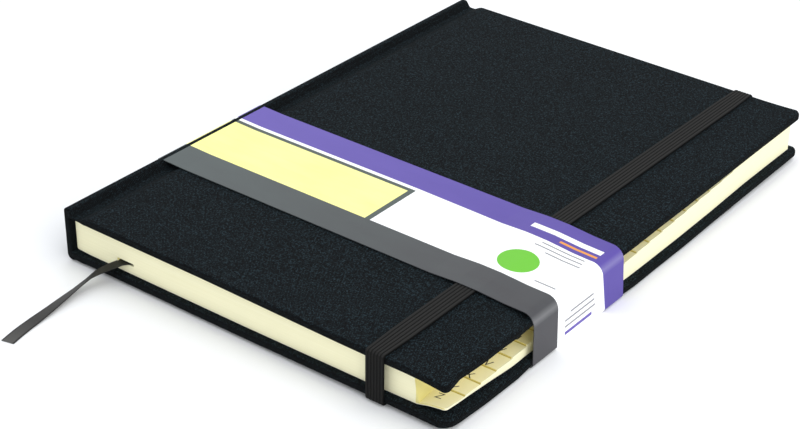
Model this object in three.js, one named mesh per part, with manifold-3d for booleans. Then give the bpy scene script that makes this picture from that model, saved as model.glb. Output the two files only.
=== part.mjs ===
// An alphabetical index notebook: a cloth-covered, case-bound book of leaves whose fore edge is
// cut into a staircase of 26 letter tabs. A ribbed elastic strap holds it shut, a paper band goes
// round it, and a woven ribbon marks the page.
// Millimetres. X runs from the spine to the fore edge, Y from the tail to the head, Z is up, and
// the back cover is underneath. Pieces are drawn from the spine's tail corner, and the finished
// group is moved so that the origin is the middle of the footprint, on the standing surface.

import * as THREE from "three";
import { mergeVertices } from "three/addons/utils/BufferGeometryUtils.js";
import Module from "manifold-3d";

const wasm = await Module();
wasm.setup();

// Leaves
const LEAF_WIDTH = 149;
const LEAF_HEIGHT = 210;
const SECTION_THICKNESS = 0.415;
const LETTER_COUNT = 26;
const LEAF_CORNER_RADIUS = 1.2;
const SIGNATURE_COUNT = 13;
const SIGNATURE_ROUNDING = 0.35;

// Thumb index
const TAB_REACH = 10;
const TAB_PITCH = 7.8;
const FIRST_TAB_HEIGHT = 10.3;

// Case
const HEAD_TAIL_SQUARE = 3;
const FORE_EDGE_SQUARE = 3.1;
const BOARD_THICKNESS = 1.8;
const SPINE_BOARD_THICKNESS = 1.5;
const SPINE_RIDGE = 0.9;
const CLOTH_THICKNESS = 0.35;
const TURN_IN = 15;
const CORNER_RADIUS = 3.5;
const GROOVE_DEPTH = 1.6;
const GROOVE_FLOOR = 2.6;
const GROOVE_NEAR_SLOPE = 1.9;
const GROOVE_FAR_SLOPE = 2.4;
const EDGE_ROUNDING = 0.55;
const LINING_THICKNESS = 0.4;
const LINING_MARGIN = 6;
const ENDPAPER_THICKNESS = 0.2;
const PASTEDOWN_MARGIN = 1.5;
const GLUE = 0.05;

// Elastic strap
const STRAP_FROM_FORE_EDGE = 25.6;
const STRAP_WIDTH = 7.6;
const STRAP_THICKNESS = 0.9;
const STRAP_RIB_HEIGHT = 0.15;
const STRAP_RIB_COUNT = 6;
const STRAP_RIB_SHARE = 0.6;
const STRAP_BEND_RADIUS = 0.6;
const STRAP_SLIT_FROM_EDGE = 11;
const STRAP_STUB = 13;
const STRAP_SLIT_CLEARANCE = 0.3;

// Paper band
const BAND_WIDTH = 52;
const BAND_FROM_TAIL = 43.5;
const BAND_THICKNESS = 0.25;
const BAND_CLEARANCE = 0.3;
const BAND_BEND_RADIUS = 0.5;
const BAND_RIDGE_SLOPE = 9;
const BAND_STRAP_SLOPE = 3.2;
const BAND_OVERLAP = 14;
const BAND_OVERLAP_FROM_SPINE = 46;

// Ribbon marker
const RIBBON_WIDTH = 4.4;
const RIBBON_THICKNESS = 0.3;
const RIBBON_ANGLE = Math.PI / 4;
const RIBBON_FROM_SPINE = 24.8;
const RIBBON_ABOVE_BACK = 2.8;
const RIBBON_SLOT_DEPTH = 26;
const RIBBON_SLOT_CLEARANCE = 0.35;
const RIBBON_STEPS = 64;

// Colours
const CLOTH_COLOR = 0x24292b;
const BOARD_COLOR = 0x8f8a80;
const LINING_COLOR = 0xd9d2bd;
const LEAF_COLOR = 0xf1ead2;
const ENDPAPER_COLOR = 0xf4f0e2;
const STRAP_COLOR = 0x322f2d;
const BAND_COLOR = 0x6f5cb0;
const RIBBON_COLOR = 0x3b3938;

// How far a cutting solid goes past the surface that it opens
const CUT_PAST = 1;

// Sizes that follow from the ones above
const COVER_HEIGHT = LEAF_HEIGHT + 2 * HEAD_TAIL_SQUARE;
const COVER_THICKNESS = 2 * CLOTH_THICKNESS + 2 * GLUE + BOARD_THICKNESS;
const BLOCK_THICKNESS = LETTER_COUNT * SECTION_THICKNESS;
const ENDPAPER_STACK = 2 * ENDPAPER_THICKNESS + 3 * GLUE;
const BOOK_THICKNESS = BLOCK_THICKNESS + 2 * (COVER_THICKNESS + ENDPAPER_STACK);
const SPINE_WALL = 2 * CLOTH_THICKNESS + 2 * GLUE + SPINE_BOARD_THICKNESS;
const BLOCK_X = SPINE_WALL + LINING_THICKNESS + 2 * GLUE;
const BLOCK_Z = COVER_THICKNESS + ENDPAPER_STACK;
const FORE_EDGE_X = BLOCK_X + LEAF_WIDTH;
const COVER_WIDTH = FORE_EDGE_X + FORE_EDGE_SQUARE;
const GROOVE_END = SPINE_WALL + GROOVE_NEAR_SLOPE + GROOVE_FLOOR + GROOVE_FAR_SLOPE;
const BOARD_X = GROOVE_END + GLUE;
const STRAP_X = COVER_WIDTH - STRAP_FROM_FORE_EDGE;
const STRAP_PROUD = GLUE + STRAP_THICKNESS;
const BAND_LIFT = Math.max(SPINE_RIDGE, STRAP_PROUD) + BAND_CLEARANCE;
const STANDING_Z = -BAND_LIFT - BAND_THICKNESS;
const LAST_STEP_Y = HEAD_TAIL_SQUARE + FIRST_TAB_HEIGHT + (LETTER_COUNT - 2) * TAB_PITCH;
const RIBBON_EXIT = new THREE.Vector3(
  RIBBON_FROM_SPINE,
  HEAD_TAIL_SQUARE,
  BLOCK_Z + RIBBON_ABOVE_BACK,
);
const RIBBON_INWARD = new THREE.Vector3(Math.sin(RIBBON_ANGLE), Math.cos(RIBBON_ANGLE), 0);

// A piece cut by another is worked on as a solid and turned back into a mesh's geometry.
function solid(geometry) {
  const bare = geometry.clone();
  bare.deleteAttribute("normal");
  bare.deleteAttribute("uv");
  const merged = mergeVertices(bare, 1e-4);
  const vertProperties = new Float32Array(merged.attributes.position.array);
  const triVerts = new Uint32Array(merged.index.array);
  return new wasm.Manifold(new wasm.Mesh({ numProp: 3, vertProperties, triVerts }));
}

function geometryOf(body) {
  const mesh = body.getMesh();
  const geometry = new THREE.BufferGeometry();
  geometry.setAttribute("position", new THREE.BufferAttribute(mesh.vertProperties, 3));
  geometry.setIndex(new THREE.BufferAttribute(mesh.triVerts, 1));
  geometry.computeVertexNormals();
  return geometry;
}

function piece(name, geometry, color, roughness) {
  const material = new THREE.MeshStandardMaterial({ color, roughness, metalness: 0 });
  const mesh = new THREE.Mesh(geometry, material);
  mesh.name = name;
  return mesh;
}

// A block between two opposite corners.
function block(low, high) {
  const size = high.map((value, axis) => value - low[axis]);
  const centre = high.map((value, axis) => (value + low[axis]) / 2);
  return solid(new THREE.BoxGeometry(...size).translate(...centre));
}

// An outline in plan, X by Y, raised from one height to another.
function raised(shape, from, to) {
  const geometry = new THREE.ExtrudeGeometry(shape, { depth: to - from, bevelEnabled: false });
  return solid(geometry.translate(0, 0, from));
}

// A cross-section of the book, X by Z, run along Y.
function alongBook(shape, from, to) {
  const geometry = new THREE.ExtrudeGeometry(shape, { depth: to - from, bevelEnabled: false });
  return solid(geometry.rotateX(Math.PI / 2).translate(0, to, 0));
}

// A lengthwise section of the book, Y by Z, run along X.
function acrossBook(shape, from, to) {
  const geometry = new THREE.ExtrudeGeometry(shape, { depth: to - from, bevelEnabled: false });
  const turn = new THREE.Matrix4().makeBasis(
    new THREE.Vector3(0, 1, 0),
    new THREE.Vector3(0, 0, 1),
    new THREE.Vector3(1, 0, 0),
  );
  return solid(geometry.applyMatrix4(turn).translate(from, 0, 0));
}

// The middle line of a bent sheet: straight runs between corners, and an arc at each corner.
// Each entry holds a point and the sheet's normal there, to the left of the way it runs.
function bentLine(corners, radius, arcSteps, closed) {
  const line = [];
  const count = corners.length;
  const left = (way) => new THREE.Vector2(-way.y, way.x);
  corners.forEach((corner, index) => {
    const isEnd = !closed && (index === 0 || index === count - 1);
    const before = corners[(index + count - 1) % count];
    const after = corners[(index + 1) % count];
    const wayIn = corner.clone().sub(before).normalize();
    const wayOut = after.clone().sub(corner).normalize();
    if (isEnd) {
      line.push({ point: corner.clone(), normal: left(index === 0 ? wayOut : wayIn) });
      return;
    }
    const turn = Math.atan2(wayIn.cross(wayOut), wayIn.dot(wayOut));
    const setBack = radius * Math.abs(Math.tan(turn / 2));
    const side = Math.sign(turn);
    const start = corner.clone().addScaledVector(wayIn, -setBack);
    const centre = start.clone().addScaledVector(left(wayIn), side * radius);
    for (let step = 0; step <= arcSteps; step += 1) {
      const angle = (turn * step) / arcSteps;
      const normal = left(wayIn).rotateAround(new THREE.Vector2(), angle);
      line.push({ point: centre.clone().addScaledVector(normal, -side * radius), normal });
    }
  });
  return line;
}

function offsetPoints(line, distance) {
  return line.map(({ point, normal }) => point.clone().addScaledVector(normal, distance));
}

// The outline of an open bent sheet between two distances from its middle line.
function sheetShape(corners, radius, near, far, arcSteps = 4) {
  const line = bentLine(corners, radius, arcSteps, false);
  return new THREE.Shape([...offsetPoints(line, far), ...offsetPoints(line, near).reverse()]);
}

function roundedPoints(corners, radius, arcSteps = 3) {
  return offsetPoints(bentLine(corners, radius, arcSteps, false), 0);
}

function point(x, y) {
  return new THREE.Vector2(x, y);
}

// A cover's or leaf's outline in plan, square at the spine and round at the fore corners.
function foreRounded(left, right, low, high, radius) {
  const shape = new THREE.Shape();
  shape.moveTo(left, low);
  shape.lineTo(right - radius, low);
  shape.absarc(right - radius, low + radius, radius, -Math.PI / 2, 0, false);
  shape.lineTo(right, high - radius);
  shape.absarc(right - radius, high - radius, radius, 0, Math.PI / 2, false);
  shape.lineTo(left, high);
  shape.closePath();
  return shape;
}

// The case's outside, from the front cover round the spine to the back cover, moved in by a
// distance: flat cover, French groove, the ridge where the cloth folds over the spine board.
function caseOutside(inward, foreX) {
  const ridgeTop = BOOK_THICKNESS + SPINE_RIDGE;
  const floorStart = SPINE_WALL + GROOVE_NEAR_SLOPE;
  const upper = [
    point(foreX, BOOK_THICKNESS - inward),
    point(GROOVE_END, BOOK_THICKNESS - inward),
    point(floorStart + GROOVE_FLOOR, BOOK_THICKNESS - GROOVE_DEPTH - inward),
    point(floorStart, BOOK_THICKNESS - GROOVE_DEPTH - inward),
    point(SPINE_WALL - inward / 2, ridgeTop - inward),
    point(inward, ridgeTop - inward),
  ];
  const lower = upper.map(({ x, y }) => point(x, BOOK_THICKNESS - y)).reverse();
  const corners = [...upper, ...lower];
  return roundedPoints(corners, EDGE_ROUNDING);
}

// The case's inside where the cloth is turned in: under the covers, along the grooves and down
// the spine board's inner face.
function caseInside() {
  const grooveZ = GROOVE_DEPTH + 2 * CLOTH_THICKNESS;
  const lower = [
    point(COVER_WIDTH, COVER_THICKNESS),
    point(GROOVE_END, COVER_THICKNESS),
    point(GROOVE_END - GROOVE_FAR_SLOPE, grooveZ),
    point(SPINE_WALL, grooveZ),
  ];
  const upper = lower.map(({ x, y }) => point(x, BOOK_THICKNESS - y)).reverse();
  return [...lower, ...upper];
}

// Where a cover board lies, in plan, with room for the cloth and glue round it.
function boardOutline(gap) {
  const inset = CLOTH_THICKNESS + gap;
  return foreRounded(
    BOARD_X - GLUE + gap,
    COVER_WIDTH - inset,
    inset,
    COVER_HEIGHT - inset,
    CORNER_RADIUS - inset,
  );
}

// A box round the strap where it passes through the back cover at one end of the book.
function strapSlit(atHead, lowZ, highZ) {
  const half = STRAP_THICKNESS / 2;
  const near = STRAP_SLIT_FROM_EDGE - half - 2 * STRAP_SLIT_CLEARANCE;
  const far = STRAP_SLIT_FROM_EDGE + half + STRAP_SLIT_CLEARANCE;
  return strapBox(atHead, near, far, lowZ, highZ);
}

function strapBox(atHead, near, far, lowZ, highZ) {
  const side = STRAP_WIDTH / 2 + STRAP_SLIT_CLEARANCE;
  const lowY = atHead ? COVER_HEIGHT - far : near;
  const highY = atHead ? COVER_HEIGHT - near : far;
  return block([STRAP_X - side, lowY, lowZ], [STRAP_X + side, highY, highZ]);
}

function makeCoverCloth() {
  const outer = caseOutside(0, COVER_WIDTH);
  const wrapped = alongBook(new THREE.Shape([...outer, ...caseInside()]), 0, COVER_HEIGHT);
  const plan = foreRounded(-CUT_PAST, COVER_WIDTH, 0, COVER_HEIGHT, CORNER_RADIUS);
  let cloth = wrapped.intersect(raised(plan, -TURN_IN, BOOK_THICKNESS + TURN_IN));

  const pocket = boardOutline(0);
  const pocketLow = CLOTH_THICKNESS;
  const pocketHigh = COVER_THICKNESS - CLOTH_THICKNESS;
  cloth = cloth.subtract(raised(pocket, pocketLow, pocketHigh));
  cloth = cloth.subtract(
    raised(pocket, BOOK_THICKNESS - pocketHigh, BOOK_THICKNESS - pocketLow),
  );
  cloth = cloth.subtract(block(
    [CLOTH_THICKNESS, CLOTH_THICKNESS, CLOTH_THICKNESS - SPINE_RIDGE],
    [
      SPINE_WALL - CLOTH_THICKNESS,
      COVER_HEIGHT - CLOTH_THICKNESS,
      BOOK_THICKNESS + SPINE_RIDGE - CLOTH_THICKNESS,
    ],
  ));

  // Between the turn-ins there is one layer of cloth only.
  const single = caseOutside(CLOTH_THICKNESS, COVER_WIDTH - TURN_IN);
  cloth = cloth.subtract(alongBook(new THREE.Shape(single), TURN_IN, COVER_HEIGHT - TURN_IN));

  for (const atHead of [false, true]) {
    cloth = cloth.subtract(strapSlit(atHead, -CLOTH_THICKNESS, CLOTH_THICKNESS + GLUE));
  }
  return piece("cover_cloth", geometryOf(cloth), CLOTH_COLOR, 0.85);
}

function makeFrontBoard() {
  const highZ = BOOK_THICKNESS - CLOTH_THICKNESS - GLUE;
  const board = raised(boardOutline(GLUE), highZ - BOARD_THICKNESS, highZ);
  return piece("front_board", geometryOf(board), BOARD_COLOR, 0.9);
}

// The back board has a slit for each end of the strap and a recess in its inner face, where the
// end is glued down.
function makeBackBoard() {
  const lowZ = CLOTH_THICKNESS + GLUE;
  const highZ = lowZ + BOARD_THICKNESS;
  let board = raised(boardOutline(GLUE), lowZ, highZ);
  const half = STRAP_THICKNESS / 2;
  const near = STRAP_SLIT_FROM_EDGE - half - 2 * STRAP_SLIT_CLEARANCE;
  const far = STRAP_SLIT_FROM_EDGE + STRAP_STUB + STRAP_SLIT_CLEARANCE;
  const recessZ = highZ - STRAP_THICKNESS - 2 * STRAP_SLIT_CLEARANCE + GLUE;
  for (const atHead of [false, true]) {
    board = board.subtract(strapSlit(atHead, lowZ - CUT_PAST, highZ + CUT_PAST));
    board = board.subtract(strapBox(atHead, near, far, recessZ, highZ + CUT_PAST));
  }
  return piece("back_board", geometryOf(board), BOARD_COLOR, 0.9);
}

function makeSpineBoard() {
  const inset = CLOTH_THICKNESS + GLUE;
  const board = block(
    [inset, inset, inset - SPINE_RIDGE],
    [inset + SPINE_BOARD_THICKNESS, COVER_HEIGHT - inset, BOOK_THICKNESS + SPINE_RIDGE - inset],
  );
  return piece("spine_board", geometryOf(board), BOARD_COLOR, 0.9);
}

// The strip of mull and paper that holds the sections together behind the spine.
function makeSpineLining() {
  const lowX = SPINE_WALL + GLUE;
  const inset = HEAD_TAIL_SQUARE + LINING_MARGIN;
  const lining = block(
    [lowX, inset, BLOCK_Z],
    [lowX + LINING_THICKNESS, COVER_HEIGHT - inset, BLOCK_Z + BLOCK_THICKNESS],
  );
  return piece("spine_lining", geometryOf(lining), LINING_COLOR, 0.9);
}

// The thumb index cut, in Y by Z: over each letter's tab every leaf above its section is gone.
// The first tab is at the tail, on the last section, and the last is at the head, uncut.
function thumbIndexCut(top) {
  const startY = HEAD_TAIL_SQUARE - CUT_PAST;
  const corners = [point(startY, top), point(startY, BLOCK_Z + SECTION_THICKNESS)];
  for (let tab = 1; tab < LETTER_COUNT; tab += 1) {
    const stepY = HEAD_TAIL_SQUARE + FIRST_TAB_HEIGHT + (tab - 1) * TAB_PITCH;
    corners.push(point(stepY, BLOCK_Z + tab * SECTION_THICKNESS));
    if (tab < LETTER_COUNT - 1) {
      corners.push(point(stepY, BLOCK_Z + (tab + 1) * SECTION_THICKNESS));
    }
  }
  corners.push(point(LAST_STEP_Y, top));
  return new THREE.Shape(corners);
}

// The leaves, sewn in rounded sections at the spine and cut in steps at the fore edge.
function makeTextBlock() {
  const section = new THREE.Shape();
  const pitch = BLOCK_THICKNESS / SIGNATURE_COUNT;
  section.moveTo(FORE_EDGE_X, BLOCK_Z + BLOCK_THICKNESS);
  section.lineTo(BLOCK_X + SIGNATURE_ROUNDING, BLOCK_Z + BLOCK_THICKNESS);
  for (let signature = SIGNATURE_COUNT - 1; signature >= 0; signature -= 1) {
    const middle = BLOCK_Z + (signature + 0.5) * pitch;
    section.absellipse(
      BLOCK_X + SIGNATURE_ROUNDING,
      middle,
      SIGNATURE_ROUNDING,
      pitch / 2,
      Math.PI / 2,
      (3 * Math.PI) / 2,
      false,
      0,
    );
  }
  section.lineTo(FORE_EDGE_X, BLOCK_Z);
  const tailY = HEAD_TAIL_SQUARE;
  const headY = tailY + LEAF_HEIGHT;
  const settings = { depth: LEAF_HEIGHT, bevelEnabled: false, curveSegments: 6 };
  const geometry = new THREE.ExtrudeGeometry(section, settings);
  let leaves = solid(geometry.rotateX(Math.PI / 2).translate(0, headY, 0));
  const plan = foreRounded(0, FORE_EDGE_X, tailY, headY, LEAF_CORNER_RADIUS);
  leaves = leaves.intersect(raised(plan, 0, BOOK_THICKNESS));

  const cut = acrossBook(thumbIndexCut(BOOK_THICKNESS), FORE_EDGE_X - TAB_REACH, COVER_WIDTH);
  leaves = leaves.subtract(cut).subtract(ribbonSlot());
  return piece("text_block", geometryOf(leaves), LEAF_COLOR, 0.8);
}

// The room between the leaves for the ribbon, which lies at an angle there.
function ribbonSlot() {
  const side = RIBBON_WIDTH / 2 + RIBBON_SLOT_CLEARANCE;
  const half = RIBBON_THICKNESS / 2 + RIBBON_SLOT_CLEARANCE;
  const length = RIBBON_SLOT_DEPTH + side + CUT_PAST;
  const slot = new THREE.BoxGeometry(2 * side, length, 2 * half);
  slot.translate(0, RIBBON_SLOT_DEPTH - length / 2, 0).rotateZ(-RIBBON_ANGLE);
  return solid(slot.translate(...RIBBON_EXIT));
}

// A folded endpaper: one half is pasted inside the cover, the other is the free leaf next to
// the sections. The free leaf in front is cut away over the tabs with the leaves below it.
function makeEndpaper(name, isFront) {
  const tailY = HEAD_TAIL_SQUARE;
  const headY = tailY + LEAF_HEIGHT;
  const foldX = BLOCK_X + ENDPAPER_THICKNESS;
  const pasteZ = COVER_THICKNESS + GLUE;
  const freeZ = pasteZ + ENDPAPER_THICKNESS + GLUE;
  const freePlan = foreRounded(foldX, FORE_EDGE_X, tailY, headY, LEAF_CORNER_RADIUS);
  const pastePlan = foreRounded(
    foldX,
    FORE_EDGE_X - PASTEDOWN_MARGIN,
    tailY + PASTEDOWN_MARGIN,
    headY - PASTEDOWN_MARGIN,
    LEAF_CORNER_RADIUS,
  );
  const folded = block(
    [foldX, tailY + PASTEDOWN_MARGIN, pasteZ],
    [foldX + ENDPAPER_THICKNESS, headY - PASTEDOWN_MARGIN, freeZ + ENDPAPER_THICKNESS],
  );
  let sheet = raised(freePlan, freeZ, freeZ + ENDPAPER_THICKNESS);
  if (isFront) {
    sheet = sheet.subtract(
      block([FORE_EDGE_X - TAB_REACH, 0, 0], [COVER_WIDTH, LAST_STEP_Y, BOOK_THICKNESS]),
    );
  }
  sheet = sheet.add(raised(pastePlan, pasteZ, pasteZ + ENDPAPER_THICKNESS)).add(folded);
  if (isFront) {
    sheet = sheet.mirror([0, 0, 1]).translate([0, 0, BOOK_THICKNESS]);
  }
  return piece(name, geometryOf(sheet), ENDPAPER_COLOR, 0.8);
}

// The strap: woven ribs on a flat core. Each end goes up through a slit in the back cover, turns
// inwards and lies glued in the board's recess.
function makeStrap() {
  const half = STRAP_THICKNESS / 2;
  const under = -GLUE - half;
  const over = BOOK_THICKNESS + GLUE + half;
  const stubZ = COVER_THICKNESS - CLOTH_THICKNESS - 2 * GLUE - half;
  const tailSide = [
    point(STRAP_SLIT_FROM_EDGE + STRAP_STUB, stubZ),
    point(STRAP_SLIT_FROM_EDGE, stubZ),
    point(STRAP_SLIT_FROM_EDGE, under),
    point(under, under),
    point(under, over),
  ];
  const headSide = tailSide.map(({ x, y }) => point(COVER_HEIGHT - x, y)).reverse();
  const corners = [...tailSide, ...headSide];
  const core = sheetShape(corners, STRAP_BEND_RADIUS, -half, half - STRAP_RIB_HEIGHT);
  const rib = sheetShape(corners, STRAP_BEND_RADIUS, -half + STRAP_RIB_HEIGHT, half);
  const lowX = STRAP_X - STRAP_WIDTH / 2;
  const ribPitch = STRAP_WIDTH / STRAP_RIB_COUNT;
  const ribHalf = (ribPitch * STRAP_RIB_SHARE) / 2;
  let strap = acrossBook(core, lowX, lowX + STRAP_WIDTH);
  for (let index = 0; index < STRAP_RIB_COUNT; index += 1) {
    const ribX = lowX + (index + 0.5) * ribPitch;
    strap = strap.add(acrossBook(rib, ribX - ribHalf, ribX + ribHalf));
  }
  return piece("elastic_strap", geometryOf(strap), STRAP_COLOR, 0.75);
}

// The paper band: it lies on the covers, rises over the spine's ridges and the strap, and its
// ends are glued in an overlap under the back cover.
function makeBellyBand() {
  const half = BAND_THICKNESS / 2;
  const gap = BAND_CLEARANCE + half;
  const lifted = BAND_LIFT + half;
  const strapSide = STRAP_WIDTH / 2 + BAND_CLEARANCE + half;
  const top = BOOK_THICKNESS;
  const corners = [
    point(-gap, -lifted),
    point(STRAP_X + strapSide, -lifted),
    point(COVER_WIDTH + gap, -gap),
    point(COVER_WIDTH + gap, top + gap),
    point(STRAP_X + strapSide + BAND_STRAP_SLOPE, top + gap),
    point(STRAP_X + strapSide, top + lifted),
    point(STRAP_X - strapSide, top + lifted),
    point(STRAP_X - strapSide - BAND_STRAP_SLOPE, top + gap),
    point(SPINE_WALL + BAND_RIDGE_SLOPE, top + gap),
    point(SPINE_WALL, top + lifted),
    point(-gap, top + lifted),
  ];
  const line = bentLine(corners, BAND_BEND_RADIUS, 4, true);
  const ring = new THREE.Shape(offsetPoints(line, -half));
  ring.holes.push(new THREE.Path(offsetPoints(line, half)));
  const bandEnd = BAND_FROM_TAIL + BAND_WIDTH;
  const overlap = block(
    [BAND_OVERLAP_FROM_SPINE, BAND_FROM_TAIL, STANDING_Z + half],
    [BAND_OVERLAP_FROM_SPINE + BAND_OVERLAP, bandEnd, STANDING_Z + 2 * BAND_THICKNESS],
  );
  const band = alongBook(ring, BAND_FROM_TAIL, bandEnd).add(overlap);
  return piece("belly_band", geometryOf(band), BAND_COLOR, 0.6);
}

// A stop of the ribbon: its place, counted from the exit in ribbon widths, and the way across
// its flat side.
function ribbonStop(reach, across) {
  const at = RIBBON_EXIT.clone().addScaledVector(new THREE.Vector3(...reach), RIBBON_WIDTH);
  return { at, across: new THREE.Vector3(...across) };
}

function ribbonStopInside(depth) {
  const across = new THREE.Vector3(RIBBON_INWARD.y, -RIBBON_INWARD.x, 0);
  return { at: RIBBON_EXIT.clone().addScaledVector(RIBBON_INWARD, depth), across };
}

// The ribbon's route: from between the leaves, over the back cover's edge, and down to and
// along the standing surface, turning on its long axis on the way.
const RIBBON_ROUTE = [
  ribbonStopInside(RIBBON_SLOT_DEPTH - RIBBON_WIDTH),
  ribbonStopInside((RIBBON_SLOT_DEPTH - RIBBON_WIDTH) / 2),
  ribbonStopInside(0),
  ribbonStop([-0.57, -0.57, -0.15], [0.74, -0.67, 0.02]),
  ribbonStop([-1.07, -1.09, -0.44], [0.76, -0.6, 0.15]),
  ribbonStop([-1.43, -1.64, -0.74], [0.8, -0.4, 0.35]),
  ribbonStop([-1.64, -2.41, -1.01], [0.82, -0.2, 0.5]),
  ribbonStop([-1.68, -3.52, -1.24], [0.85, -0.05, 0.5]),
  ribbonStop([-1.57, -5.11, -1.41], [0.92, 0.05, 0.36]),
  ribbonStop([-1.43, -6.48, -1.52], [0.96, 0.08, 0.22]),
  ribbonStop([-1.3, -7.84, -1.6], [0.98, 0.1, 0.08]),
  ribbonStop([-1.09, -9.43, -1.645], [0.98, 0.15, 0]),
  ribbonStop([-0.77, -10.91, -1.645], [0.98, 0.2, 0]),
];

// The route's curve. Its frames keep the ribbon's flat side the way the stops say.
class RibbonCurve extends THREE.CatmullRomCurve3 {
  computeFrenetFrames(segments) {
    const tangents = [];
    const normals = [];
    const binormals = [];
    for (let index = 0; index <= segments; index += 1) {
      const along = index / segments;
      const tangent = this.getTangentAt(along);
      const stop = this.getUtoTmapping(along) * (RIBBON_ROUTE.length - 1);
      const low = Math.min(Math.floor(stop), RIBBON_ROUTE.length - 2);
      const [from, to] = [RIBBON_ROUTE[low].across, RIBBON_ROUTE[low + 1].across];
      const across = from.clone().lerp(to, stop - low);
      across.addScaledVector(tangent, -across.dot(tangent)).normalize();
      tangents.push(tangent);
      normals.push(across);
      binormals.push(new THREE.Vector3().crossVectors(tangent, across).normalize());
    }
    return { tangents, normals, binormals };
  }
}

function makeRibbon() {
  const curve = new RibbonCurve(RIBBON_ROUTE.map(({ at }) => at));
  const half = RIBBON_THICKNESS / 2;
  const side = RIBBON_WIDTH / 2;
  const outline = new THREE.Shape([
    point(-side, -half / 2),
    point(-side + half, -half),
    point(side - half, -half),
    point(side, -half / 2),
    point(side, half / 2),
    point(side - half, half),
    point(-side + half, half),
    point(-side, half / 2),
  ]);
  const settings = { steps: RIBBON_STEPS, bevelEnabled: false, extrudePath: curve };
  const ribbon = new THREE.ExtrudeGeometry(outline, settings);
  return piece("ribbon_marker", ribbon, RIBBON_COLOR, 0.7);
}

const book = new THREE.Group();
book.add(
  makeCoverCloth(),
  makeFrontBoard(),
  makeBackBoard(),
  makeSpineBoard(),
  makeSpineLining(),
  makeTextBlock(),
  makeEndpaper("front_endpaper", true),
  makeEndpaper("back_endpaper", false),
  makeStrap(),
  makeBellyBand(),
  makeRibbon(),
);
book.position.set(-COVER_WIDTH / 2, -COVER_HEIGHT / 2, -STANDING_Z);

const notebook = new THREE.Group();
notebook.add(book);

export default notebook;
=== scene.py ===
"""Dresses the alphabetical index notebook: cloth case, cut leaves, strap, paper band and ribbon."""

import math

import bmesh
import bpy
from mathutils import Matrix, Vector


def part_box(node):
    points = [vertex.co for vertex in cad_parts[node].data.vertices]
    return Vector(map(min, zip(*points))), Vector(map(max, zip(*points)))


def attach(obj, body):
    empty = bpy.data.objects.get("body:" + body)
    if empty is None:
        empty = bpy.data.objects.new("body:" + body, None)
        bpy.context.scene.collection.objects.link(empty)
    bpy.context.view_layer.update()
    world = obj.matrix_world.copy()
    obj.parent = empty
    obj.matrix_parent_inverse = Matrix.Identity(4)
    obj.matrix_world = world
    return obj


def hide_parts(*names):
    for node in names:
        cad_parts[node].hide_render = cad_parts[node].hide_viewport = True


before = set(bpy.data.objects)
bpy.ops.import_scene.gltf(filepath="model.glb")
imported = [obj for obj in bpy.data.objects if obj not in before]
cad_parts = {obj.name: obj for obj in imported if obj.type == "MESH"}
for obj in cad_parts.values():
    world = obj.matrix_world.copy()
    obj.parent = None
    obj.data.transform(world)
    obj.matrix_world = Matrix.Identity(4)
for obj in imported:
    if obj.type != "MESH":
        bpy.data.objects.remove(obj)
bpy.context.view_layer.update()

# Lengths are in millimetres in the book's own frame: X from the spine's outer face, Y from the
# tail, Z from the back cover's underside. place() turns them into metres in the row frame.
# RIDGE is how far the spine's long edges stand above the covers.
MM = 0.001
RIDGE = 0.9
CLOTH_LOW, CLOTH_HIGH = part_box("cover_cloth")
BLOCK_LOW, BLOCK_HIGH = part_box("text_block")
STRAP_LOW, STRAP_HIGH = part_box("elastic_strap")
BAND_LOW, BAND_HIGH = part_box("belly_band")
ORIGIN = Vector((CLOTH_LOW[0], CLOTH_LOW[1], CLOTH_LOW[2] + RIDGE * MM))

WIDTH = (CLOTH_HIGH[0] - CLOTH_LOW[0]) / MM
HEIGHT = (CLOTH_HIGH[1] - CLOTH_LOW[1]) / MM
THICKNESS = (CLOTH_HIGH[2] - CLOTH_LOW[2]) / MM - 2 * RIDGE

# Case
COVER = 2.6
GROOVE = 1.6
GROOVE_BELOW = -0.2
GROOVE_FROM, GROOVE_TO = 4.2, 6.8
GROOVE_END = 9.2
GROOVE_SHOULDER = 0.6
GROOVE_CLOTH = 0.7
GROOVE_MARGIN = 0.3
SPINE_WALL = 2.3
SPINE_SLOPE = 0.1
SPINE_FOOT = 1.9
CORNER_RADIUS = 3.5
TAIL_CORNERS = (4.8, 2.2)
EDGE_SOFTNESS = 0.6

# Strap
STRAP_X = (STRAP_LOW[0] + STRAP_HIGH[0]) / 2 / MM - ORIGIN[0] / MM
STRAP_WIDTH = (STRAP_HIGH[0] - STRAP_LOW[0]) / MM
STRAP_THICKNESS = 0.8
STRAP_RIBS = 6
STRAP_SLIT = 11.0
STRAP_SKEW = 0.8

# Band
BAND_TAIL = (BAND_LOW[1] - ORIGIN[1]) / MM
BAND_HEAD = (BAND_HIGH[1] - ORIGIN[1]) / MM
BAND_THICKNESS = 0.25
BAND_GAP = 0.3
BAND_LIFT = 1.25
RIDGE_SLOPE = 9.0
STRAP_SLOPE = 10.0

# Leaves
BLOCK_TAIL = (BLOCK_LOW[1] - ORIGIN[1]) / MM
BLOCK_BOTTOM = (BLOCK_LOW[2] - ORIGIN[2]) / MM
BLOCK_TOP = (BLOCK_HIGH[2] - ORIGIN[2]) / MM
FORE_EDGE = (BLOCK_HIGH[0] - ORIGIN[0]) / MM
LETTERS = "ZYXWVUTSRQPONMLKJIHGFEDCBA"
TAB_REACH = 10.0
TAB_PITCH = 7.8
FIRST_TAB = 10.3
INDEX_WALL = FORE_EDGE - TAB_REACH

# Ribbon
RIBBON_WIDTH = 4.4
RIBBON_THICKNESS = 0.24


def place(x, y, z):
    """A point of the book's own frame, in metres in the row frame."""
    return ORIGIN + Vector((x, y, z)) * MM


def clamped(value):
    return min(max(value, 0.0), 1.0)


def passed(value, start, end):
    """How far a value has gone from a start to an end, from 0 to 1."""
    return clamped((value - start) / (end - start))


# Mesh helpers

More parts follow.
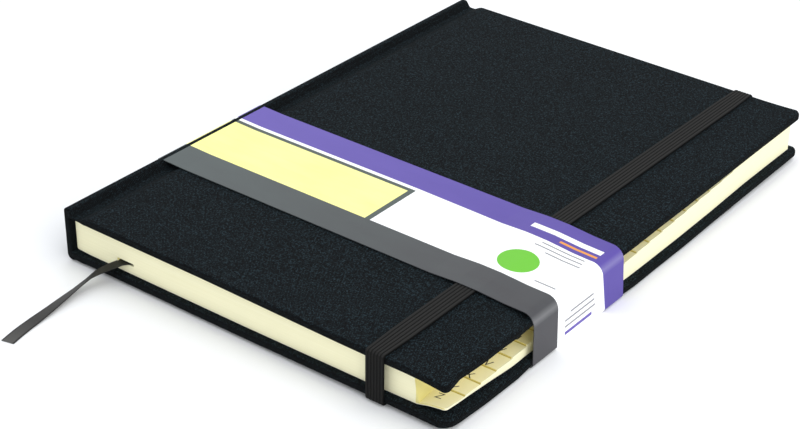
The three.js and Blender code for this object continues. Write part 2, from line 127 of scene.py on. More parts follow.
def new_object(name, vertices, faces, smooth=True):
    mesh = bpy.data.meshes.new(name)
    mesh.from_pydata([tuple(v) for v in vertices], [], faces)
    mesh.validate()
    mesh.update()
    if smooth:
        mesh.polygons.foreach_set("use_smooth", [True] * len(mesh.polygons))
    obj = bpy.data.objects.new(name, mesh)
    bpy.context.scene.collection.objects.link(obj)
    return obj


def loft(name, rings, uv=None):
    """A closed body through rings of the same number of points, with a face over each end."""
    count = len(rings[0])
    vertices = [point for ring in rings for point in ring]
    faces = []
    for row in range(len(rings) - 1):
        for i in range(count):
            after = (i + 1) % count
            low, high = row * count, (row + 1) * count
            faces.append((low + i, low + after, high + after, high + i))
    faces.append(tuple(range(count))[::-1])
    faces.append(tuple(range((len(rings) - 1) * count, len(rings) * count)))
    obj = new_object(name, vertices, faces)
    if uv is not None:
        layer = obj.data.uv_layers.new(name="flat")
        for polygon in obj.data.polygons:
            for loop in polygon.loop_indices:
                vertex = obj.data.loops[loop].vertex_index
                layer.data[loop].uv = uv[vertex // count][vertex % count]
    return obj


def mark_sharp(obj, angle):
    """Keeps the edges sharper than an angle crisp under smooth shading."""
    obj.data.set_sharp_from_angle(angle=math.radians(angle))


def rounded(corners, closed, steps=5):
    """Points along a path of (x, z, radius) corners, with an arc at each corner, and the normal
    to the left of the way at each point."""
    line = []
    count = len(corners)
    for i, (x, z, radius) in enumerate(corners):
        here = Vector((x, z))
        before = Vector(corners[i - 1][:2])
        after = Vector(corners[(i + 1) % count][:2])
        if not closed and i in (0, count - 1):
            way = (after - here) if i == 0 else (here - before)
            way.normalize()
            line.append((here, Vector((-way.y, way.x))))
            continue
        way_in = (here - before).normalized()
        way_out = (after - here).normalized()
        turn = math.atan2(way_in.cross(way_out), way_in.dot(way_out))
        side = math.copysign(1, turn)
        left = Vector((-way_in.y, way_in.x))
        start = here - way_in * radius * abs(math.tan(turn / 2))
        centre = start + left * side * radius
        for step in range(steps + 1):
            normal = left.copy()
            normal.rotate(Matrix.Rotation(turn * step / steps, 2))
            line.append((centre - normal * side * radius, normal))
    return line


def divided(line, longest, closed):
    """The same path with long straight runs cut into shorter ones."""
    result = []
    pairs = zip(line, line[1:] + line[:1]) if closed else zip(line, line[1:])
    for (here, normal), (after, normal_after) in pairs:
        pieces = max(1, math.ceil((after - here).length / longest))
        for piece in range(pieces):
            share = piece / pieces
            result.append((here.lerp(after, share), normal.lerp(normal_after, share).normalized()))
    if not closed:
        result.append(line[-1])
    return result


# Material helpers

class Nodes:
    """A small builder for a material's node tree."""

    def __init__(self, name):
        self.material = bpy.data.materials.new(name)
        self.material.use_nodes = True
        self.tree = self.material.node_tree
        self.shader = self.tree.nodes["Principled BSDF"]

    def link(self, source, target):
        if isinstance(source, bpy.types.NodeSocket):
            self.tree.links.new(source, target)
        else:
            target.default_value = source

    def node(self, kind, **values):
        node = self.tree.nodes.new(kind)
        for key, value in values.items():
            setattr(node, key, value)
        return node

    def coordinates(self, output="Object"):
        return self.node("ShaderNodeTexCoord").outputs[output]

    def uv(self):
        return self.node("ShaderNodeUVMap", uv_map="flat").outputs["UV"]

    def scaled(self, vector, scale):
        node = self.node("ShaderNodeMapping")
        self.link(vector, node.inputs["Vector"])
        node.inputs["Scale"].default_value = scale
        return node.outputs["Vector"]

    def split(self, vector):
        node = self.node("ShaderNodeSeparateXYZ")
        self.link(vector, node.inputs[0])
        return node.outputs

    def math(self, operation, *values):
        node = self.node("ShaderNodeMath", operation=operation)
        for socket, value in zip(node.inputs, values):
            self.link(value, socket)
        return node.outputs[0]

    def plus(self, first, second):
        return self.math("ADD", first, second)

    def minus(self, first, second):
        return self.math("SUBTRACT", first, second)

    def over(self, first, second):
        return self.math("DIVIDE", first, second)

    def times(self, first, *others):
        for other in others:
            first = self.math("MULTIPLY", first, other)
        return first

    def larger(self, first, second):
        return self.math("MAXIMUM", first, second)

    def smaller(self, first, second):
        return self.math("MINIMUM", first, second)

    def above(self, value, limit):
        return self.math("GREATER_THAN", value, limit)

    def below(self, value, limit):
        return self.math("LESS_THAN", value, limit)

    def passed(self, value, start, end):
        """How far a value has gone from a start to an end, from 0 to 1."""
        gone = self.over(self.minus(value, start), end - start)
        return self.smaller(self.larger(gone, 0.0), 1.0)

    def noise(self, vector, scale, detail, roughness=0.5):
        node = self.node("ShaderNodeTexNoise")
        self.link(vector, node.inputs["Vector"])
        node.inputs["Scale"].default_value = scale
        node.inputs["Detail"].default_value = detail
        node.inputs["Roughness"].default_value = roughness
        return node.outputs["Fac"]

    def ramp(self, factor, low, high, start, end):
        node = self.node("ShaderNodeValToRGB")
        self.link(factor, node.inputs[0])
        node.color_ramp.elements[0].position = start
        node.color_ramp.elements[0].color = (*low, 1)
        node.color_ramp.elements[1].position = end
        node.color_ramp.elements[1].color = (*high, 1)
        return node.outputs[0]

    def mix(self, factor, first, second):
        node = self.node("ShaderNodeMix", data_type="RGBA")
        self.link(factor, node.inputs[0])
        for value, socket in ((first, node.inputs[6]), (second, node.inputs[7])):
            self.link((*value, 1) if isinstance(value, tuple) else value, socket)
        return node.outputs[2]

    def bump(self, height, distance, strength):
        node = self.node("ShaderNodeBump")
        node.inputs["Strength"].default_value = strength
        node.inputs["Distance"].default_value = distance
        self.link(height, node.inputs["Height"])
        self.link(node.outputs[0], self.shader.inputs["Normal"])

    def set(self, **values):
        for key, value in values.items():
            self.link(value, self.shader.inputs[key.replace("_", " ")])


def srgb(red, green, blue):
    """A colour read off a screen, 0 to 255, as linear values."""
    def linear(value):
        value /= 255
        return value / 12.92 if value <= 0.04045 else ((value + 0.055) / 1.055) ** 2.4
    return (linear(red), linear(green), linear(blue))


# Noise is scaled in waves to a metre over object coordinates, and to a millimetre over the flat map.

# Cloth
WEAVE_PITCH = 0.66
THREAD_ALONG, THREAD_ACROSS = 1100, 2300
WEAVE_IN_SPECKS = 0.07
SPECKS_FROM, SPECKS_FULL = 0.55, 0.84
# Painted shade: faces turned from straight up go towards the dark side colour, up to a limit.
SIDE_PAINTED_SHADE, SIDE_PAINTED_SHADE_MOST = 1.4, 0.65
CLOTH_DARK, CLOTH_LIGHT = srgb(4, 6, 8), srgb(11, 15, 17)
CLOTH_SPECK, CLOTH_SIDE_PAINTED_SHADE = srgb(63, 83, 92), srgb(5, 5, 5)


def cloth_material():
    """Black book cloth: plain weave of uneven threads, a few paler; its sides get painted shade."""
    nodes = Nodes("book_cloth")
    where = nodes.coordinates()
    x, y, z = nodes.split(where)
    thread = 2 * math.pi / (WEAVE_PITCH * MM)
    warp = nodes.math("SINE", nodes.times(nodes.plus(x, z), thread))
    weft = nodes.math("SINE", nodes.times(y, thread))
    weave = nodes.times(warp, weft)
    warp_way = nodes.scaled(where, (THREAD_ALONG, THREAD_ACROSS, THREAD_ACROSS))
    weft_way = nodes.scaled(where, (THREAD_ACROSS, THREAD_ALONG, THREAD_ACROSS))
    along = nodes.noise(warp_way, 1.0, detail=3.0, roughness=0.7)
    across = nodes.noise(weft_way, 1.0, detail=3.0, roughness=0.7)
    slub = nodes.larger(along, across)
    lit = nodes.plus(slub, nodes.times(weave, WEAVE_IN_SPECKS))
    speck = nodes.ramp(lit, (0, 0, 0), (1, 1, 1), SPECKS_FROM, SPECKS_FULL)
    broad = nodes.noise(where, 60.0, detail=2.0)
    base = nodes.mix(broad, CLOTH_DARK, CLOTH_LIGHT)
    colour = nodes.mix(speck, base, CLOTH_SPECK)
    # Painted shade: the cloth darkens on faces turned from straight up.
    facing_up = nodes.split(nodes.coordinates("Normal"))[2]
    painted_side_shade = nodes.minus(1.0, nodes.math("ABSOLUTE", facing_up))
    painted_side_shade = nodes.smaller(nodes.times(painted_side_shade, SIDE_PAINTED_SHADE), SIDE_PAINTED_SHADE_MOST)
    colour = nodes.mix(painted_side_shade, colour, CLOTH_SIDE_PAINTED_SHADE)
    nodes.set(Base_Color=colour, Roughness=0.9, Specular_IOR_Level=0.09)
    height = nodes.plus(nodes.times(weave, 0.4), nodes.times(slub, 1.6))
    nodes.bump(height, distance=0.14 * MM, strength=1.0)
    return nodes.material


# Leaves: the tabs' tone starts just inside their wall and ends just short of the fore edge. The
# darker line at each step is painted shade at the step's foot, LINE_SHARE of the tabs' pitch wide,
# and the wall's painted shade, a deeper yellow also put on the steps' risers, reaches WALL_TONE
# outwards. A face counts as turned one way when its normal goes more than TURNED that way.
LEAF_LINES = (25, 25, 9000)
TABS_BEFORE_WALL, TABS_SHORT_OF_EDGE = 0.1, 0.05
LINE_SHARE = 0.06
LINES_FROM = 0.6
WALL_TONE = 2.5
TURNED = 0.5
LEAF_EDGE_DARK, LEAF_EDGE_LIGHT = srgb(236, 230, 184), srgb(254, 250, 217)
LEAF_CLOUD, LEAF_TAB = srgb(246, 240, 204), srgb(253, 245, 198)
# Painted shade: the step line's colour, and the deeper yellow of the wall and the risers.
LEAF_STEP_PAINTED_SHADE, LEAF_WALL_PAINTED_SHADE = srgb(198, 180, 86), srgb(230, 218, 140)


def paper_edge_material():
    """Cream leaves: fine lines along their edges, and a darker tone inside the thumb index with
    a line of painted shade at each of its steps, and painted shade on its wall and risers."""
    nodes = Nodes("leaf_paper")
    where = nodes.coordinates()
    x, y, _ = nodes.split(where)
    lines = nodes.noise(nodes.scaled(where, LEAF_LINES), 1.0, detail=2.0, roughness=0.6)
    cloud = nodes.noise(where, 60.0, detail=3.0)
    edge = nodes.mix(lines, LEAF_EDGE_DARK, LEAF_EDGE_LIGHT)
    colour = nodes.mix(nodes.times(cloud, 0.3), edge, LEAF_CLOUD)
    facing_x, facing_y, facing_z = nodes.split(nodes.coordinates("Normal"))
    wall_x = place(INDEX_WALL, 0, 0).x
    from_wall = nodes.above(x, wall_x - TABS_BEFORE_WALL * MM)
    inside = nodes.times(from_wall, nodes.below(x, BLOCK_HIGH[0] - TABS_SHORT_OF_EDGE * MM))
    tab = nodes.times(inside, nodes.above(facing_z, TURNED))
    colour = nodes.mix(tab, colour, LEAF_TAB)
    # Painted shade: a darker line on the tabs at the foot of each step.
    first = place(0, BLOCK_TAIL + FIRST_TAB, 0).y
    steps = nodes.over(nodes.minus(y, first), TAB_PITCH * MM)
    past = nodes.math("FRACT", nodes.plus(steps, LINE_SHARE))
    line = nodes.times(nodes.below(past, LINE_SHARE), nodes.above(y, first - LINES_FROM * MM))
    colour = nodes.mix(nodes.times(tab, line), colour, LEAF_STEP_PAINTED_SHADE)
    # Painted shade: the wall and the steps' risers get a deeper yellow.
    riser = nodes.times(inside, nodes.below(facing_y, -TURNED))
    wall = nodes.times(nodes.above(facing_x, TURNED), nodes.below(x, wall_x + WALL_TONE * MM))
    colour = nodes.mix(nodes.larger(riser, wall), colour, LEAF_WALL_PAINTED_SHADE)
    nodes.set(Base_Color=colour, Roughness=0.85)
    nodes.bump(lines, distance=0.04 * MM, strength=0.5)
    return nodes.material


def plain_paper(name, low, high, grain=900.0):
    """Paper or board of one colour, with a fine grain."""
    nodes = Nodes(name)
    fibre = nodes.noise(nodes.coordinates(), grain, detail=3.0)
    nodes.set(Base_Color=nodes.mix(fibre, low, high), Roughness=0.85)
    nodes.bump(fibre, distance=0.03 * MM, strength=0.4)
    return nodes.material


# Elastic
STITCH_LENGTH = 0.7
STITCH_SLANT = 1.8
# The strap's sides are darkened by painted shade by this share, towards the side colour below.
ELASTIC_PAINTED_SHADE_SHARE = 0.45
# The ribs run from painted shade in their valleys to a painted highlight on their crests.
ELASTIC_DARK, ELASTIC_LIGHT = srgb(7, 7, 7), srgb(42, 42, 41)
ELASTIC_SIDE_PAINTED_SHADE = srgb(4, 4, 4)


def elastic_material():
    """Woven elastic: each rib is a row of slanting stitches. Painted shade darkens the valleys
    between the ribs and the strap's sides, and a painted highlight lightens the ribs' crests.
    """
    nodes = Nodes("elastic")
    u, v, _ = nodes.split(nodes.uv())
    rib = nodes.times(v, math.pi * STRAP_RIBS / STRAP_WIDTH)
    ridge = nodes.math("ABSOLUTE", nodes.math("SINE", rib))
    along = nodes.times(u, 2 * math.pi / STITCH_LENGTH)
    stitch = nodes.math("SINE", nodes.plus(along, nodes.times(ridge, STITCH_SLANT)))
    grain = nodes.noise(nodes.scaled(nodes.uv(), (2.0, 6.0, 1.0)), 1.0, detail=3.0)
    # Painted shade between the ribs and painted highlight on their crests, mixed with random grain.
    tone = nodes.plus(nodes.times(ridge, 0.6), nodes.times(grain, 0.4))
    colour = nodes.ramp(tone, ELASTIC_DARK, ELASTIC_LIGHT, 0.2, 0.95)
    # Painted shade on faces turned from straight up.
    painted_side_shade = nodes.below(nodes.split(nodes.coordinates("Normal"))[2], TURNED)
    colour = nodes.mix(nodes.times(painted_side_shade, ELASTIC_PAINTED_SHADE_SHARE), colour, ELASTIC_SIDE_PAINTED_SHADE)
    nodes.set(Base_Color=colour, Roughness=0.75, Specular_IOR_Level=0.12)
    height = nodes.plus(nodes.times(stitch, 0.25), nodes.times(grain, 0.3))
    nodes.bump(height, distance=0.06 * MM, strength=0.7)
    return nodes.material


# Ribbon: painted shade keeps it dark between the leaves and just outside them, and painted sheen
# makes it lighter outside and lightest near its cut end. The stretches are in millimetres from its
# end between the leaves, and SELVEDGE_FROM is in widths from its middle.
WEFT_PITCH = 0.3
LIT_FROM, LIT_FULL = 29.0, 40.0
END_FROM, END_FULL = 60.0, 74.0
END_SHEEN_TONE = 0.7
SELVEDGE_FROM = 0.4
RIBBON_PAINTED_SHADE, RIBBON_SELVEDGE = srgb(7, 7, 6), srgb(16, 16, 16)
THREAD_DARK, THREAD_LIGHT = srgb(30, 29, 29), srgb(58, 57, 56)
RIBBON_PAINTED_SHEEN = srgb(86, 85, 82)


def ribbon_material():
    """Dark satin: fine weft rows, threads along it, a darker selvedge, painted shade and sheen."""
    nodes = Nodes("ribbon_satin")
    u, v, _ = nodes.split(nodes.uv())
    rows = nodes.math("SINE", nodes.times(u, 2 * math.pi / WEFT_PITCH))
    grain = nodes.noise(nodes.scaled(nodes.uv(), (1.2, 9.0, 1.0)), 1.0, detail=3.0)
    thread = nodes.ramp(grain, THREAD_DARK, THREAD_LIGHT, 0.3, 0.75)
    # Painted shade near the leaves, giving way to the lit threads further out.
    colour = nodes.mix(nodes.passed(u, LIT_FROM, LIT_FULL), RIBBON_PAINTED_SHADE, thread)
    # Painted sheen: the ribbon grows lighter towards its cut end.
    end_sheen = nodes.passed(u, END_FROM, END_FULL)
    colour = nodes.mix(nodes.times(end_sheen, END_SHEEN_TONE), colour, RIBBON_PAINTED_SHEEN)
    from_middle = nodes.math("ABSOLUTE", nodes.minus(nodes.over(v, RIBBON_WIDTH), 0.5))
    colour = nodes.mix(nodes.above(from_middle, SELVEDGE_FROM), colour, RIBBON_SELVEDGE)
    nodes.set(Base_Color=colour, Roughness=0.55, Specular_IOR_Level=0.3)
    nodes.bump(nodes.plus(nodes.times(rows, 0.4), grain), distance=0.04 * MM, strength=0.6)
    return nodes.material


# Print on the band, in millimetres along its flat strip (u from the spine's top corner towards
# the fore edge) and across it (v from the tail side).
PRINT_FROM = -20.0
GREY_EDGE = 13.4
YELLOW_EDGE = 36.6
BORDER = 1.7
PURPLE_EDGE = 39.9
PANEL_END = 81.0
END_BORDER = 2.1
DISC_CENTRE = (133.3, 22.8)
DISC_RADIUS = 6.85
RULE_PITCH = 5.4
RULE_SHARE = 0.08
RULE_TONE = 0.12
BAND_FACE_END = 170.0
# The purple field widens by a slope beyond the yellow panel, and narrows again before NARROW_AT.
WIDEN_SLOPE = 0.02
NARROW_AT, NARROW_SLOPE = 162.0, 0.12
# A painted highlight makes the paper a little paler where it is folded over the fore edge.
FOLD_AT = 155.8
FOLD_REACH = 1.9
FOLD_PAINTED_HIGHLIGHT = 0.1
WHITE = srgb(250, 250, 250)
GREY_BAR = srgb(132, 132, 136)
ORANGE_BAR = srgb(232, 150, 60)
PURPLE_BAR = srgb(90, 74, 160)
GREY_NEAR, GREY_FAR = srgb(77, 85, 85), srgb(61, 60, 64)
PURPLE_NEAR, PURPLE_FAR = srgb(97, 81, 167), srgb(80, 64, 149)
YELLOW_DARK, YELLOW_LIGHT = srgb(250, 246, 144), srgb(255, 251, 168)
YELLOW_RULE = srgb(214, 204, 120)
PANEL_BORDER = srgb(74, 84, 80)
GREEN_DISC = srgb(104, 190, 44)
# Bars in place of printed words: low u, high u, low v, high v and colour.
BARS = [
    (124.0, 151.5, 43.2, 45.8, WHITE),
    (137.0, 151.5, 40.6, 41.7, ORANGE_BAR),
    (133.0, 149.5, 36.6, 37.2, GREY_BAR),
    (131.5, 150.0, 34.4, 35.0, GREY_BAR),
    (137.0, 150.5, 32.2, 32.8, GREY_BAR),
    (143.5, 151.5, 16.8, 17.4, GREY_BAR),
    (161.2, 161.9, 20.5, 34.0, GREY_BAR),
    (163.4, 164.1, 17.5, 34.5, GREY_BAR),
    (165.6, 166.3, 17.5, 35.0, GREY_BAR),
    (167.8, 169.0, 17.5, 33.0, PURPLE_BAR),
]


def band_material():
    """Satin-coated paper printed in plain fields of colour, with a painted highlight on its fold."""
    nodes = Nodes("printed_paper")
    u, v, _ = nodes.split(nodes.uv())
    cloud = nodes.noise(nodes.scaled(nodes.uv(), (0.05, 0.12, 1.0)), 1.0, detail=2.0)
    far = nodes.over(u, BAND_FACE_END)
    far = nodes.plus(far, nodes.times(nodes.minus(cloud, 0.5), 0.5))
    grey = nodes.mix(far, GREY_NEAR, GREY_FAR)
    purple = nodes.mix(far, PURPLE_NEAR, PURPLE_FAR)
    yellow = nodes.mix(cloud, YELLOW_DARK, YELLOW_LIGHT)
    rule = nodes.below(nodes.math("FRACT", nodes.over(v, RULE_PITCH)), RULE_SHARE)
    yellow = nodes.mix(nodes.times(rule, RULE_TONE), yellow, YELLOW_RULE)

    colour = nodes.mix(nodes.above(v, GREY_EDGE), grey, WHITE)
    printed = nodes.times(nodes.above(u, PRINT_FROM), nodes.above(v, GREY_EDGE))
    panel_part = nodes.times(printed, nodes.below(u, PANEL_END))
    panel = nodes.times(panel_part, nodes.below(v, YELLOW_EDGE + BORDER))
    colour = nodes.mix(panel, colour, PANEL_BORDER)
    yellow_part = nodes.times(printed, nodes.below(u, PANEL_END - END_BORDER))
    inside = nodes.times(yellow_part, nodes.below(v, YELLOW_EDGE))
    colour = nodes.mix(inside, colour, yellow)
    widening = nodes.times(nodes.larger(nodes.minus(u, PANEL_END), 0.0), WIDEN_SLOPE)
    narrowing = nodes.times(nodes.minus(NARROW_AT, u), NARROW_SLOPE)
    widening = nodes.smaller(widening, narrowing)
    colour = nodes.mix(nodes.above(nodes.plus(v, widening), PURPLE_EDGE), colour, purple)
    for low_u, high_u, low_v, high_v, paint in BARS:
        across_u = nodes.times(nodes.above(u, low_u), nodes.below(u, high_u))
        bar = nodes.times(across_u, nodes.above(v, low_v), nodes.below(v, high_v))
        colour = nodes.mix(bar, colour, paint)
    off_u = nodes.math("POWER", nodes.minus(u, DISC_CENTRE[0]), 2.0)
    off_v = nodes.math("POWER", nodes.minus(v, DISC_CENTRE[1]), 2.0)
    disc = nodes.below(nodes.plus(off_u, off_v), DISC_RADIUS ** 2)
    colour = nodes.mix(disc, colour, GREEN_DISC)
    # Painted highlight along the fold over the fore edge.
    from_fold = nodes.math("ABSOLUTE", nodes.minus(u, FOLD_AT))
    fold_highlight = nodes.larger(nodes.minus(1.0, nodes.over(from_fold, FOLD_REACH)), 0.0)
    colour = nodes.mix(nodes.times(fold_highlight, FOLD_PAINTED_HIGHLIGHT), colour, WHITE)
    fibre = nodes.noise(nodes.coordinates(), 700.0, detail=2.0)
    nodes.set(Base_Color=colour, Roughness=0.5, Specular_IOR_Level=0.35)
    nodes.bump(fibre, distance=0.02 * MM, strength=0.3)
    return nodes.material


# Camera and light. The camera's angles are in degrees, its focal length and principal point in
# pixels of the photo, and the floor and the lights in metres.

CAMERA_AT = (414.24, -356.98, 330.86)
AZIMUTH = 34.35
ELEVATION = 30.99
ROLL = 2.413
FOCAL_PX = 1907.2
PHOTO_WIDTH, PHOTO_HEIGHT = 800, 429
PRINCIPAL = (498.5, 238.1)
SENSOR = 36.0
AMBIENT_COLOUR = (0.93, 0.96, 1.0, 1)
AMBIENT_STRENGTH = 0.98
FLOOR_COLOUR = (0.93, 0.93, 0.93, 1)
FLOOR_HALF = 2


def make_camera():
    data = bpy.data.cameras.new("camera")
    data.sensor_width = SENSOR
    data.lens = FOCAL_PX / PHOTO_WIDTH * SENSOR
    data.shift_x = 0.5 - PRINCIPAL[0] / PHOTO_WIDTH
    data.shift_y = (PRINCIPAL[1] - PHOTO_HEIGHT / 2) / PHOTO_WIDTH
    data.clip_start = 0.01
    data.clip_end = 20
    camera = bpy.data.objects.new("camera", data)
    bpy.context.scene.collection.objects.link(camera)
    turn = Matrix.Rotation(math.radians(AZIMUTH), 4, "Z")
    tilt = Matrix.Rotation(math.radians(90 - ELEVATION), 4, "X")
    roll = Matrix.Rotation(math.radians(ROLL), 4, "Z")
    camera.matrix_world = Matrix.Translation(place(*CAMERA_AT)) @ turn @ tilt @ roll
    bpy.context.scene.camera = camera


def area_light(name, at, size, power, aim=(0, 0, 0.01)):
    data = bpy.data.lights.new(name, "AREA")
    data.size = size
    data.energy = power
    light = bpy.data.objects.new(name, data)
    light.location = at
    light.rotation_euler = (Vector(aim) - Vector(at)).to_track_quat("-Z", "Y").to_euler()
    bpy.context.scene.collection.objects.link(light)


def white_to_camera(tree, shader, background):
    """Mixes a shader with plain white wherever the camera, a mirror or glass looks at it."""
    path = tree.nodes.new("ShaderNodeLightPath")
    seen = tree.nodes.new("ShaderNodeMath")
    seen.operation = "MAXIMUM"
    tree.links.new(path.outputs["Is Camera Ray"], seen.inputs[0])
    tree.links.new(path.outputs["Is Glossy Ray"], seen.inputs[1])
    also = tree.nodes.new("ShaderNodeMath")
    also.operation = "MAXIMUM"
    tree.links.new(seen.outputs[0], also.inputs[0])
    tree.links.new(path.outputs["Is Transmission Ray"], also.inputs[1])
    mix = tree.nodes.new("ShaderNodeMixShader")
    tree.links.new(also.outputs[0], mix.inputs[0])
    tree.links.new(shader, mix.inputs[1])
    tree.links.new(background, mix.inputs[2])
    return mix.outputs[0]


def make_stage():
    world = bpy.data.worlds.new("studio")
    bpy.context.scene.world = world
    world.use_nodes = True
    tree = world.node_tree
    ambient = tree.nodes["Background"]
    ambient.inputs["Color"].default_value = AMBIENT_COLOUR
    ambient.inputs["Strength"].default_value = AMBIENT_STRENGTH
    white = tree.nodes.new("ShaderNodeBackground")
    white.inputs["Color"].default_value = (1, 1, 1, 1)
    output = tree.nodes["World Output"]
    shown = white_to_camera(tree, ambient.outputs[0], white.outputs[0])
    tree.links.new(shown, output.inputs["Surface"])

    half = FLOOR_HALF
    corners = [(-half, -half, 0), (half, -half, 0), (half, half, 0), (-half, half, 0)]
    floor = new_object("floor", corners, [(0, 1, 2, 3)], smooth=False)
    nodes = Nodes("floor_paper")
    nodes.set(Base_Color=FLOOR_COLOUR, Roughness=0.9)
    floor.data.materials.append(nodes.material)

    area_light("key", at=(0.35, 0.25, 0.9), size=0.7, power=1.5)
    area_light("fill", at=(0.9, -0.28, 0.5), size=0.9, power=4.8)
    area_light("back", at=(-0.6, 0.5, 0.6), size=0.9, power=1.0)


# How the covers lie

# How far the covers' fore edges stray from straight, from tail to head: each row has Y, then the
# back cover's way outwards and down, the front cover's way outwards and down, and how far the
# band presses the front cover's upper edge down. The press is full from PRESS_BELOW_TOP under its
# upper face and fades to none at its underside. The two SAG_AT pairs are stretches along X over
# which the back cover's sag grows.
STRAY = [
    (0, 0.3, 0.0, 0.0, 1.65, 0.0),
    (8, 0.4, 0.6, -1.2, 1.15, 0.0),
    (14, 0.4, 0.9, -0.65, 0.95, 0.0),
    (20, 0.4, 1.2, -0.3, 0.8, 0.0),
    (28, 0.35, 1.3, -0.35, 0.75, 0.0),
    (36, 0.3, 1.4, -0.1, 0.65, 0.2),
    (43, -0.05, 1.0, -0.5, 0.6, 1.3),
    (94, -0.1, 1.0, -0.5, 0.3, 1.3),
    (102, 0.0, 1.4, -0.2, 0.2, 0.3),
    (115, -0.2, 1.45, -0.3, 0.1, 0.0),
    (135, -0.15, 1.25, -0.35, 0.0, 0.0),
    (155, -0.2, 0.75, -0.6, 0.0, 0.0),
    (179, -0.15, 0.2, -0.95, 0.0, 0.0),
    (200, -0.3, 0.0, -1.05, -0.1, 0.0),
    (HEIGHT, -0.5, 0.0, -0.8, -0.6, 0.0),
]
STRAY_FROM = 135.0
BACK_DROOP_POWER, FRONT_DROOP_POWER = 1.2, 2
BACK_SAG = 0.5
SAG_AT_SPINE = (0, 8)
SAG_AT_STRAP = (125, 75)
TAIL_DIP = 0.7
DIP_FROM, DIP_DEEPEST = 60.0, 115.0
PRESS_BELOW_TOP = 0.6
# The covers' corners are rounded by drawing in what lies within CORNER_REACH of the fore edge.
CORNER_REACH = 12.0


def row_at(y):
    """The stray at a place along the book, between the rows of the table."""
    inside = min(max(y, 0.0), HEIGHT)
    for low, high in zip(STRAY, STRAY[1:]):
        if inside <= high[0]:
            along = (inside - low[0]) / (high[0] - low[0])
            return [a + (b - a) * along for a, b in zip(low[1:], high[1:])]


def back_sag(x):
    """The back cover hangs a little lower between the spine and the strap."""
    return BACK_SAG * passed(x, *SAG_AT_SPINE) * passed(x, *SAG_AT_STRAP)


def tail_dip(x, y):
    """The strap draws the front cover's tail edge down."""
    return TAIL_DIP * passed(x, DIP_FROM, DIP_DEEPEST) * passed(y, BAND_TAIL, 0)


def strayed(x, y, z):
    """Where a point of the covers comes to lie."""
    back_x, back_drop, front_x, front_drop, pressed = row_at(y)
    share = passed(x, STRAY_FROM, WIDTH)
    if z < THICKNESS / 2:
        return x + back_x * share, y, z - back_sag(x) - back_drop * share ** BACK_DROOP_POWER
    depth = passed(z, THICKNESS - COVER, THICKNESS - PRESS_BELOW_TOP)
    drop = tail_dip(x, y) * (1 - share)
    drop += (front_drop + pressed * depth) * share ** FRONT_DROOP_POWER
    return x + front_x * share, y, z - drop


def retracted(x, y, z):
    """Draws the fore edge in near the covers' rounded corners."""
    radius = CORNER_RADIUS
    if y < HEIGHT / 2:
        radius = TAIL_CORNERS[0 if z < THICKNESS / 2 else 1]
    depth = radius - min(y, HEIGHT - y)
    if depth <= 0:
        return x
    back = radius - math.sqrt(max(radius ** 2 - depth ** 2, 0))
    return x - back * max(0.0, (x - (WIDTH - CORNER_REACH)) / CORNER_REACH)


def laid(x, y, z):
    """Where a point of the covers comes to lie, the corners rounded."""
    return strayed(retracted(x, y, z), y, z)


# Pieces

# Case: its tail and head edges are rounded in EDGE_STEPS, and NEAR_RINGS are the distances of the
# next rings from the tail and from the head.
GROOVE_SOFTNESS = 0.28
EDGE_STEPS = 5
NEAR_RINGS = (0.9, 1.3, 1.8, 2.4, 3.0, CORNER_RADIUS, TAIL_CORNERS[0], 6.0, 8.0)
MIDDLE_RINGS = 40


def mirrored(corners):
    """The same corners for the back cover, in the opposite order."""
    return [(x, THICKNESS - z, radius) for x, z, radius in reversed(corners)]


def case_section():
    """The corners of the case's section, each with x, z and its radius: flat covers, French
    grooves and a ridged square spine on the outside, then the inside."""
    top, wall = THICKNESS, SPINE_WALL
    front = [
        (WIDTH, top, 1.0),
        (GROOVE_END + GROOVE_SHOULDER, top, 4.5),
        (GROOVE_TO, top - GROOVE, 2.4),
        (GROOVE_FROM, top - GROOVE, 1.1),
        (wall + SPINE_SLOPE, top + RIDGE, 0.8),
    ]
    shallower = GROOVE - GROOVE_BELOW
    back = [(x, z + shallower if z < top else z, radius) for x, z, radius in front]
    front.append((0, top + RIDGE, 1.0))
    back.append((0, top + RIDGE, SPINE_FOOT))
    inner = [
        (WIDTH, COVER, 0.7),
        (GROOVE_END, COVER, 1.0),
        (GROOVE_TO, GROOVE + GROOVE_CLOTH, 1.0),
        (wall, GROOVE + GROOVE_CLOTH, 0.2),
    ]
    return front + mirrored(back) + inner + mirrored(inner)


def soft_at(point):
    """How much the case's tail and head edges are rounded at a point of its section."""
    in_groove = SPINE_WALL + GROOVE_MARGIN < point.x < GROOVE_END
    return GROOVE_SOFTNESS if in_groove else EDGE_SOFTNESS


def ring_places():
    """Where the case's rings lie along Y, each with how far it is drawn in by the rounded edge."""
    near = []
    for step in range(EDGE_STEPS + 1):
        angle = math.pi / 2 * step / EDGE_STEPS
        near.append((EDGE_SOFTNESS * (1 - math.cos(angle)), 1 - math.sin(angle)))
    near += [(y, 0.0) for y in NEAR_RINGS]
    far = [(HEIGHT - y, ease) for y, ease in reversed(near)]
    end = NEAR_RINGS[-1]
    middle = {end + (HEIGHT - 2 * end) * ring / MIDDLE_RINGS for ring in range(1, MIDDLE_RINGS)}
    middle |= {float(row[0]) for row in STRAY if end + 1 < row[0] < HEIGHT - end - 1}
    return near + [(y, 0.0) for y in sorted(middle)] + far


def make_cover():
    """The cloth case, lofted along the book with rounded tail and head edges."""
    line = divided(rounded(case_section(), closed=True), longest=5.0, closed=True)
    softness = [soft_at(point) for point, _ in line]
    rings = []
    for y, ease in ring_places():
        ring = []
        for (point, normal), soft in zip(line, softness):
            x = point.x + normal.x * soft * ease
            z = point.y + normal.y * soft * ease
            ring.append(place(*laid(x, y, z)))
        rings.append(ring)
    cover = loft("cover", rings)
    cover.data.materials.append(cloth_material())
    mark_sharp(cover, angle=50)
    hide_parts("cover_cloth")
    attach(cover, "book")


